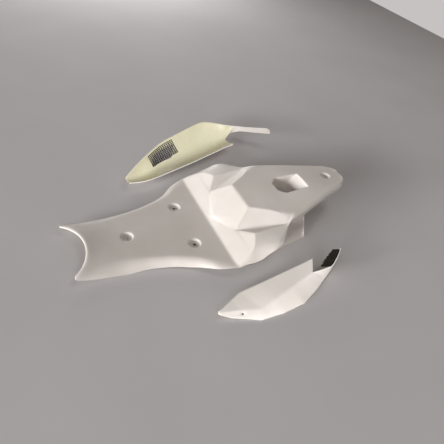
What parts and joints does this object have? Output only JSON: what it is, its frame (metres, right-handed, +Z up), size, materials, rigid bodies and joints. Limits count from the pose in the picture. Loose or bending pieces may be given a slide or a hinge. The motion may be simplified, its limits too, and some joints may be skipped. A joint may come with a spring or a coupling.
{
  "type": "racing seat unit",
  "caption": "Glass-fibre racing seat unit: seat pan, faceted hump and ducted tail in one moulding, with its loose side panels and their mesh patches lying beside it.",
  "frame": {"origin": "centre of the front seat bolt's hole, level with the floor of its dish", "axes": "+X along the seat towards the tail, +Y to the seat's right-hand side as the picture has it (away from the camera), +Z up"},
  "size_m": [0.7507, 0.7025, 0.0983],
  "materials": {
    "gelcoat": "satin off-white gelcoat",
    "laminate": "bare glass-fibre laminate inside, off-white gelcoat outside",
    "mesh": "black coated wire mesh"
  },
  "bodies": {
    "root": {"seat_shell": "gelcoat", "left_side_panel": "gelcoat", "right_side_panel": "laminate", "left_panel_mesh": "mesh", "right_panel_mesh": "mesh"}
  },
  "joints": []
}
